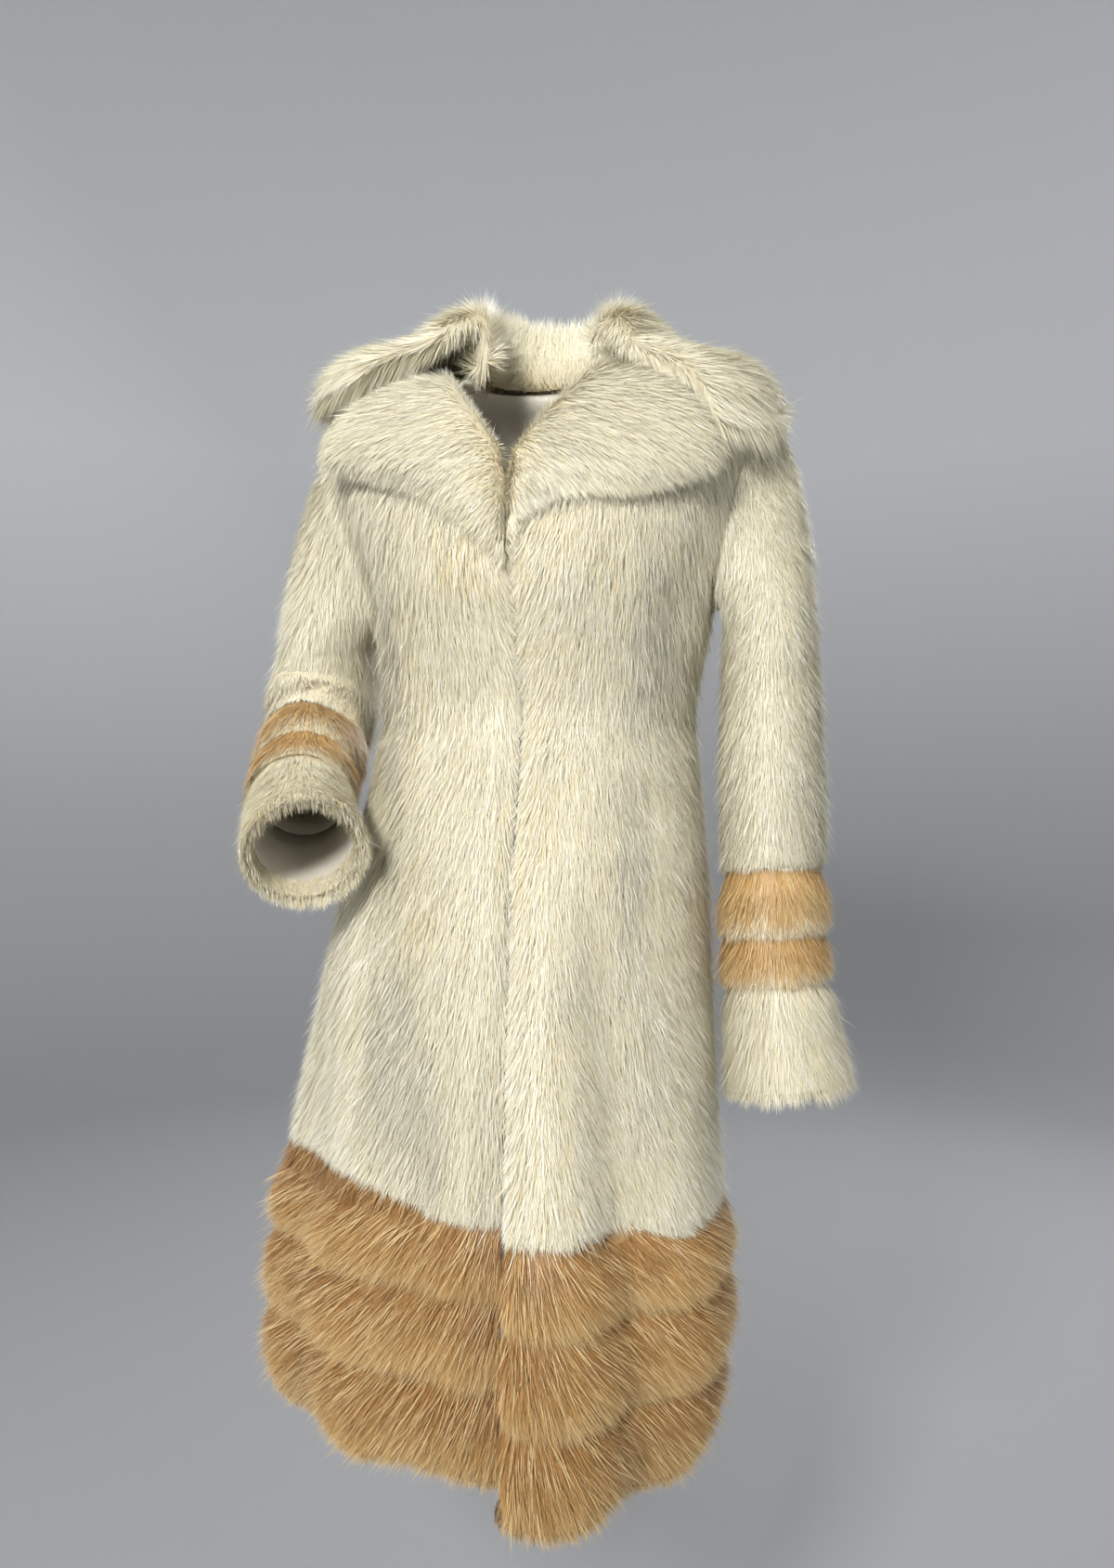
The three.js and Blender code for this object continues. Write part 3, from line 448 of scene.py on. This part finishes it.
def hairGround(node, kind):
    bm = merged(node)
    sides = sortFaces(node, kind, bm)
    outward = outerNormals(bm, sides)
    sunk = sinkDepths(node, kind, bm, sides, outward)
    corners, bends, deeps, bare, inner = [], [], [], [], []
    for face, side in zip(bm.faces, sides):
        middle = np.array([face.calc_center_median()[:]])
        if side != "inner" or toMouth(node, kind, middle)[0] < lie["turnedIn"]:
            corners.append([v.co[:] for v in face.verts])
            bends.append([outward[v][:] if side == "outer" else face.normal[:] for v in face.verts])
            deeps.append([sunk.get(v, 0.0) if side == "outer" else 0.0 for v in face.verts])
            bare.append(side != "outer")
            inner.append(side == "inner")
    bm.free()
    corners, bends, deeps, bare, inner = [np.array(c) for c in (corners, bends, deeps, bare, inner)]
    for _ in range(2):
        corners, bends, deeps = quartered(corners), quartered(bends), quartered(deeps)
        bare, inner = np.tile(bare, 4), np.tile(inner, 4)
    middles = corners.mean(axis=1)
    faceNormals = unit(np.cross(corners[:, 1] - corners[:, 0], corners[:, 2] - corners[:, 0]))
    free = []
    for middle, normal in zip(middles, faceNormals):
        start = Vector(middle + normal * 2e-5)
        free.append(allTree.ray_cast(start, Vector(normal), lie["cover"])[0] is None)
    acrossFlow = np.abs(flowAt(node, kind, middles, faceNormals)[1]) < 0.3  # no wall's edge at a seam
    nearMouth = toMouth(node, kind, middles) < lie["turnedIn"]
    free = np.array(free) & (nearMouth | (~inner & acrossFlow) | ~bare)
    return corners[free], bends[free], deeps[free], bare[free]


def toMouth(node, kind, p):  # how far it is to the open end of a cuff or of the hem
    if kind == "cuff":
        return fromEnd(p, sleeveLines[node.rsplit("_", 1)[1]])
    if kind == "hem" and "lower" in node:
        return p[:, 2] - hemCut["lower"][1]
    return np.ones(len(p))


def quartered(c):
    a, b, d = c[:, 0], c[:, 1], c[:, 2]
    ab, bd, da = (a + b) / 2, (b + d) / 2, (d + a) / 2
    fours = [(a, ab, da), (ab, b, bd), (da, bd, d), (ab, bd, da)]
    return np.concatenate([np.stack(four, axis=1) for four in fours])


def scatter(corners, bends, deeps, bare, density, seed):
    rng = np.random.default_rng(seed)
    cross = np.cross(corners[:, 1] - corners[:, 0], corners[:, 2] - corners[:, 0])
    area = np.linalg.norm(cross, axis=1) / 2
    count = int(area.sum() * density * (1.0))
    pick = rng.choice(len(area), count, p=area / area.sum())
    a = rng.random(count)
    b = rng.random(count)
    over = a + b > 1
    a[over] = 1 - a[over]
    b[over] = 1 - b[over]
    shares = np.stack([a, b, 1 - a - b], axis=1)[:, :, None]
    place = (corners[pick] * shares).sum(axis=1)
    normal = (bends[pick] * shares).sum(axis=1)
    deep = (deeps[pick] * shares[:, :, 0]).sum(axis=1)
    return place, unit(normal), deep, bare[pick], rng


def unit(v):
    return v / np.maximum(np.linalg.norm(v, axis=1), 1e-9)[:, None]


def smooth(low, high, v):
    t = np.clip((v - low) / (high - low), 0, 1)
    return t * t * (3 - 2 * t)


def seamShare(node, kind, p):  # 0 at the seam above, 1 at the seam below
    if kind == "hem":
        top, end = hemCut[node.split("_")[1]]
        return (top - p[:, 2]) / (top - end)
    if kind in ("band", "cuff"):
        top, end = sleeveCut[node.rsplit("_", 1)[0]]
        return (top - fromEnd(p, sleeveLines[node.rsplit("_", 1)[1]])) / (top - end)
    return np.ones(len(p))


def creamEdge(p):
    inFront = np.interp(p[:, 0], border["places"], border["heights"])
    behind = np.interp(p[:, 0], backBorder["places"], backBorder["heights"])
    return np.where(p[:, 1] < 0, inFront, behind)


def toSeamBelow(node, kind, p):
    if kind == "body":
        toCreamEdge = p[:, 2] - creamEdge(p)
        return np.where(toCreamEdge > 0, toCreamEdge, 0.02)
    if kind == "hem":
        left = p[:, 2] - hemCut[node.split("_")[1]][1]
        toCreamEdge = p[:, 2] - creamEdge(p)
        return np.where(toCreamEdge > 0, toCreamEdge, left)
    if kind in ("sleeve", "band", "cuff"):
        return fromEnd(p, sleeveLines[node.rsplit("_", 1)[1]]) - sleeveCut[node.rsplit("_", 1)[0]][1]
    return np.ones(len(p))


def closureAt(z):
    return 0.012 * smooth(-0.47, -0.73, z)


def flowAt(node, kind, p, n):
    side = -1.0 if node.endswith("right") else 1.0
    around = unit(np.cross(np.array([0, 0, 1.0]), n))  # towards the wearer's left on the front
    inFront = smooth(-0.02, -0.08, p[:, 1])
    if kind in ("body", "hem"):
        fromGap = p[:, 0] - closureAt(p[:, 2])
        overGap = smooth(0.014, 0.002, np.abs(fromGap)) * inFront * smooth(-0.08, -0.12, p[:, 2])
    if kind == "body":
        chest = np.exp(-(((p[:, 2] + 0.24) / 0.09) ** 2)) * np.exp(-((p[:, 0] / 0.07) ** 2)) * inFront
        skirt = smooth(-0.45, -0.70, p[:, 2]) * inFront * smooth(0.03, 0.12, np.abs(p[:, 0]))
        lean = np.sign(p[:, 0]) * (-0.45 * chest + 0.22 * skirt) - np.sign(fromGap) * 0.12 * overGap
        way = down + around * lean[:, None]
    elif kind == "hem":
        away = np.where(fromGap > 0, 1.0, -1.0) * inFront
        share = 0.30 + 0.55 * smooth(0.02, 0.14, np.abs(p[:, 0]))
        way = down + around * (away * share * smooth(0, 0.02, np.abs(fromGap)))[:, None]
    elif kind in ("sleeve", "band", "cuff"):
        _, way = insideOf(kind, node, p)
        hanging = 0.25 * np.ones(len(p))
        if node.endswith("right"):  # round the bent forearm the fur hangs to both sides
            hanging = 0.25 + 0.45 * smooth(0.26, 0.19, fromEnd(p, sleeveLines["right"]))
        way = way + hanging[:, None] * down
        if kind == "band":
            way = way + np.array([0, 0.25, -0.05])
        if kind == "cuff":
            way = way + 0.12 * n
    elif kind == "lapel":
        way = np.tile(np.array([side * 0.95, 0.25, -0.50]), (len(p), 1))
    else:
        outward = unit(np.stack([p[:, 0], p[:, 1] - 0.01, np.zeros(len(p))], axis=1))
        way = outward + 0.1 * down
        stand = smooth(0.09, 0.06, np.hypot(p[:, 0], p[:, 1])) * (n @ down < 0.5)
        way = way * (1 - stand)[:, None] + (outward * 0.2 - down) * stand[:, None]
        ends = smooth(0.35, 0.75, -n[:, 1]) * (np.hypot(p[:, 0], p[:, 1]) < 0.10) * (p[:, 1] < 0)
        way = way * (1 - ends)[:, None] + down * ends[:, None]
    way = unit(way)
    facing = np.sum(way * n, axis=1)
    return unit(way - facing[:, None] * n), facing, way


def spots(places, p):
    total = np.zeros(len(p))
    for x, z, wide, high, strength in places:
        total += strength * np.exp(-(((p[:, 0] - x) / wide) ** 2) - (((p[:, 2] - z) / high) ** 2))
    return total * (p[:, 1] < -0.02)


skinTones = np.random.default_rng(5).uniform(-0.022, 0.022, 64)


def skinsSewnIn(p):  # the upright skins that the fur is sewn from differ a little
    column = (p[:, 0] + clouds[4].at(p, 0.06) * 0.004) / 0.043 + 32
    edge = np.abs(column - np.round(column)) * 0.043
    return skinTones[np.floor(column).astype(int) % 64] - 0.03 * smooth(0.003, 0.0, edge)


def creamTone(node, kind, p, stretched, rng, guard):
    count = len(p)
    tone = 0.79 + clouds[5].at(stretched, lie["lock"]) * 0.05 + clouds[6].at(p, 0.045) * 0.04
    tone += clouds[3].at(stretched, 0.022) * 0.055 + rng.normal(0, 0.05, count)
    yellow = 0.10 + 0.25 * smooth(0.15, 0.75, clouds[7].at(p * np.array([1, 1, 0.5]), 0.05))
    if kind == "lapel":
        # painted shade: the lapels' fur is painted darker, standing in for less light falling on them
        tone -= 0.10
    if kind == "sleeve":
        # the left sleeve's fur is a little darker overall, and painted shade darkens its outer side at the
        # front
        tone -= 0.07 * (p[:, 0] > 0) + 0.10 * smooth(0.220, 0.245, p[:, 0]) * (p[:, 1] < 0.01)
    if kind in ("body", "sleeve"):
        tone += 0.05 * smooth(-0.62, -0.73, p[:, 2]) + skinsSewnIn(p)
    if kind == "body":
        # painted shade: the fur is painted darker at the sides and in the folds of the body
        tone -= 0.36 * spots(paintedShadePlaces, p)
        yellow += spots(yellowPlaces, p)
    if kind == "cuff":
        yellow = yellow + 0.25
        # painted light: the right cuff's fur is painted lighter to make up for the shade among its hairs
        tone += 0.05 * node.endswith("right")
    tone[guard] = rng.uniform(0.86, 0.91, int(guard.sum()))
    swap = (rng.random(count) < yellow) & ~guard
    tone[swap] = rng.uniform(0.93, 1.0, int(swap.sum()))
    return np.clip(tone, 0.58, 0.985)


def tanTone(t, p, stretched, rng, kind, guard):
    count = len(p)
    t = t + clouds[6].at(p, 0.02) * 0.06
    if kind == "hem":
        ramp = np.interp(t, [0, 0.15, 0.45, 0.70, 1.0], [0.15, 0.175, 0.245, 0.335, 0.43])
    else:
        ramp = np.interp(t, [0, 0.2, 0.6, 1.0], [0.31, 0.33, 0.39, 0.45])
    tone = ramp + clouds[5].at(stretched, lie["lock"]) * 0.03 + clouds[7].at(p, 0.035) * 0.02
    tone = tone + rng.normal(0, 0.05, count)
    tone[guard] = rng.uniform(0.42, 0.468, int(guard.sum()))
    tone = np.clip(tone, 0.04, 0.468)
    if kind == "band":  # the lower part of each sleeve band fades into cream
        pale = rng.random(count) < 0.75 * smooth(0.50, 1.0, t)
        tone[pale] = rng.uniform(0.74, 0.86, int(pale.sum()))
    return tone


def toneOf(node, kind, p, stretched, rng, guard):
    cream = creamTone(node, kind, p, stretched, rng, guard)
    if kind not in ("body", "hem", "band"):
        return cream
    share = np.zeros(len(p)) if kind == "body" else np.clip(seamShare(node, kind, p), 0, 1)
    tan = tanTone(share, p, stretched, rng, "band" if kind == "band" else "hem", guard)
    if kind == "body" or node.startswith("hem_upper"):
        return np.where(p[:, 2] > creamEdge(p) + clouds[3].at(p, 0.015) * 0.0015, cream, tan)
    return tan


def fromEnd(p, line):
    line = np.array(line)
    way = unit((line[-1] - line[-3])[None, :])[0]
    return (line[-1] - p) @ way


def hangFromEdges(kind, place, normal, ahead, long):
    under = normal @ down
    droop = smooth(-0.75, -0.1, under) * 0.55 + smooth(0.0, 0.6, under) * 0.5
    towardsMiddle = smooth(0.2, 0.8, -normal[:, 0] * np.sign(place[:, 0])) * (kind == "lapel")
    sag = down * (droop * (1 - towardsMiddle))[:, None]
    ahead = unit(ahead + sag + normal * (0.5 * towardsMiddle)[:, None])
    long = long * (1 - 0.45 * towardsMiddle)
    if kind == "collar":  # a curtain of fur closes the shadow between the collar and the lapels
        below = smooth(0.3, 0.7, under) * smooth(-0.02, -0.06, place[:, 1])
        below = below * smooth(0.09, 0.13, np.hypot(place[:, 0], place[:, 1]))
        outwards = unit(place * np.array([1, 1, 0]))
        hanging = 0.9 * down + 0.4 * outwards
        ahead = unit(ahead * (1 - below)[:, None] + hanging * below[:, None])
        long = long * (1 + 0.9 * below)
    shallow = np.sum(ahead * normal, axis=1) < 0.15
    ahead[shallow] = unit(ahead[shallow] + normal[shallow] * 0.25)
    return ahead, long


def shadingOf(kind, place, normal):
    if kind not in ("lapel", "collar"):
        return normal
    under = smooth(-0.2, 0.6, normal @ down)  # the hanging fringes catch the light as a round edge does
    front = unit(place * np.array([1, 1, 0]) + np.array([0, -0.05, 0]))
    return unit(normal * (1 - 0.8 * under)[:, None] + (front - 0.2 * down) * under[:, None])


def strands(node, kind, seed):
    fur = pile[kind]
    place, normal, deep, bare, rng = scatter(*hairGround(node, kind), fur["density"], seed)
    count = len(place)
    flow, facing, mainFlow = flowAt(node, kind, place, normal)
    mainWay = down if kind not in ("lapel", "collar") else unit(flow.mean(0)[None, :])[0]
    stretched = place - mainWay * ((place @ mainWay) * (1 - 1 / lie["lockLong"]))[:, None]
    guard = rng.random(count) < lie["guard"]
    sway = fur["locks"] * (clouds[0].at(stretched, lie["lock"]) * 0.13 + clouds[1].at(place, 0.035) * 0.12)
    flow = unit(flow + np.cross(flow, normal) * (sway + rng.normal(0, 0.15, count))[:, None])
    lift = 1 + 0.20 * fur["locks"] * clouds[2].at(stretched, lie["lock"] * 1.3) + rng.normal(0, 0.28, count)
    lift = np.radians(fur["lift"]) * np.clip(lift, 0.25, 2.2)
    lift = lift + guard * np.radians(rng.uniform(3, 16, count))
    long = 1 + 0.10 * clouds[3].at(place, 0.02) + rng.normal(0, 0.18, count)
    long = fur["length"] * np.clip(long, 0.45, 1.5)
    long = long * np.where(guard, lie["guardLong"], 1.0)
    share = seamShare(node, kind, place)
    if node.startswith(("hem_upper", "sleeve_band_upper")):  # under the cream fur
        lift = lift * (0.6 + 0.4 * smooth(0, 0.35, share))
    if kind in ("hem", "band"):
        lift = lift * (1 - 0.35 * smooth(0.75, 1.0, share))
    if kind in ("body", "hem"):  # the groove where the fronts meet stays open
        nearGap = smooth(0.008, 0.002, np.abs(place[:, 0] - closureAt(place[:, 2]))) * (place[:, 1] < -0.03)
        lift = lift * (1 - 0.65 * nearGap)
        long = long * (1 - 0.45 * nearGap)
    if kind in ("band", "cuff") and node.endswith("right"):
        lift = lift * lie["rightForearm"]
    if kind in ("body", "sleeve"):
        lift = lift * (1 + 0.30 * smooth(0.014, 0.0, toSeamBelow(node, kind, place)))
    ownWay = insideOf(kind, node, place)[1] if kind in ("sleeve", "band", "cuff") else down
    pace = np.maximum(np.sum(flow * ownWay, axis=1), 0.35)
    ragged = rng.uniform(0.1, 1.35, count) + 0.5 * clouds[0].at(stretched, lie["lock"])
    over = fur["over"]
    if kind == "hem":
        over = np.where(place[:, 2] > creamEdge(place), lie["underCream"], over)
    room = (toSeamBelow(node, kind, place) + over * ragged) / pace
    long = np.minimum(long, np.maximum(room, lie["shortest"]))
    root = place - normal * (deep - 0.0002)[:, None]
    ahead = flow * np.cos(lift)[:, None] + normal * np.sin(lift)[:, None]
    if kind in ("hem", "cuff"):  # round an open mouth the hairs point outwards
        rim = bare & (facing > 0.3)
        spread = mainFlow[rim] + 0.5 * (normal[rim] + rng.normal(0, 0.35, (int(rim.sum()), 3)))
        ahead[rim] = unit(spread)
        long = np.where(bare, np.minimum(long, lie["rimLong"]) * rng.uniform(0.6, 1.2, count), long)
    if kind in ("lapel", "collar"):
        ahead, long = hangFromEdges(kind, place, normal, ahead, long)
    tip = root + ahead * long[:, None]
    tip = np.clip(tip, np.subtract(cadBox[0], lie["proud"]), np.add(cadBox[1], lie["proud"]))
    shade = shadingOf(kind, place, normal)
    broad = unit(np.cross(ahead, shade) + rng.normal(0, 0.25, (count, 3)))
    half = broad * (fur["width"] * 0.5 * rng.uniform(0.7, 1.3, count))[:, None]
    verts = np.stack([root - half, root + half, tip], axis=1)
    tone = toneOf(node, kind, place, stretched, rng, guard)
    # painted shade in the groove where the fronts meet
    if kind in ("body", "hem"):
        tone = tone - lie["paintedGrooveShade"] * nearGap
    bend = np.repeat(unit(shade * 0.70 + np.cross(broad, ahead) * 0.50)[:, None], 3, axis=1)
    return verts.astype(np.float32), tone.astype(np.float32), bend.astype(np.float32)


def hairObject(name, verts, tone, bend, material):
    count = len(tone)
    mesh = bpy.data.meshes.new(name)
    mesh.vertices.add(count * 3)
    mesh.vertices.foreach_set("co", verts.ravel())
    mesh.loops.add(count * 3)
    mesh.loops.foreach_set("vertex_index", np.arange(count * 3, dtype=np.int32))
    mesh.polygons.add(count)
    mesh.polygons.foreach_set("loop_start", np.arange(0, count * 3, 3, dtype=np.int32))
    mesh.update(calc_edges=True)
    soft = mesh.attributes.new("custom_normal", "FLOAT_VECTOR", "POINT")
    soft.data.foreach_set("vector", bend.ravel())
    atlas = mesh.uv_layers.new(name="OFBake")
    uv = np.zeros((count, 3, 2), np.float32)
    uv[:, :, 0] = tone[:, None] + np.array([-0.003, 0.003, 0.0], np.float32)
    uv[:, :, 1] = np.array([0.01, 0.01, 0.99], np.float32)
    atlas.data.foreach_set("uv", uv.ravel())
    mesh.materials.append(material)
    hair = bpy.data.objects.new(name, mesh)
    bpy.context.scene.collection.objects.link(hair)
    return hair


total = 0
for seed, (node, (kind, fur, cut, held, hangsFrom)) in enumerate(panels.items()):
    skin = makeSkin(node, kind, fur)
    verts, tone, bend = strands(node, kind, 100 + seed)
    hairs = hairObject(node + "_fur", verts, tone, bend, creamHair if fur == "cream" else tanHair)
    for piece in (skin, hairs):
        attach(piece, "root")
        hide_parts(node)
    total += len(tone)
    print(node, len(tone), "hairs")
print("all hairs:", total)

# ---------------------------------------------------------------- the studio's floor and wall

# The bowl's colour is painted shade: darker low down and paler up the wall, for how the light falls.
studio = {
    "floor": -1.38, "radius": 3.6, "corner": 0.9, "height": 3.4,
    "dark": (0.30, 0.305, 0.315, 1), "pale": (0.72, 0.73, 0.745, 1), "fade": (-1.3, 0.9),
}

bowl = bmesh.new()
profile = [bowl.verts.new((0.001, 0, studio["floor"]))]
turnAt = studio["radius"] - studio["corner"]
for step in range(9):
    angle = math.radians(-90 + step * 11.25)
    profile.append(bowl.verts.new((turnAt + studio["corner"] * math.cos(angle), 0,
                                   studio["floor"] + studio["corner"] * (1 + math.sin(angle)))))
profile.append(bowl.verts.new((studio["radius"], 0, studio["height"])))
edges = [bowl.edges.new(pair) for pair in zip(profile[:-1], profile[1:])]
bmesh.ops.spin(bowl, geom=profile + edges, cent=(0, 0, 0), axis=(0, 0, 1), angle=math.tau,
               steps=64, use_merge=True)
bmesh.ops.remove_doubles(bowl, verts=bowl.verts, dist=0.003)
bmesh.ops.recalc_face_normals(bowl, faces=bowl.faces)
for face in bowl.faces:
    face.smooth = True
floor = bpy.data.objects.new("floor", bpy.data.meshes.new("floor"))
bowl.to_mesh(floor.data)
bowl.free()
bpy.context.scene.collection.objects.link(floor)
pale = Graph("floor_with_painted_shade")
where = pale.node("ShaderNodeTexCoord", outlet=3)
height = pale.node("ShaderNodeSeparateXYZ", outlet=2, Vector=where)
climb = pale.node("ShaderNodeMapRange", Value=height, i1=studio["fade"][0], i2=studio["fade"][1])
# painted shade: the colour climbs from dark at the floor to pale up the wall
pale.surface(Base_Color=mixColour(pale, climb, studio["dark"], studio["pale"]), Roughness=0.9)
floor.data.materials.append(pale.material)
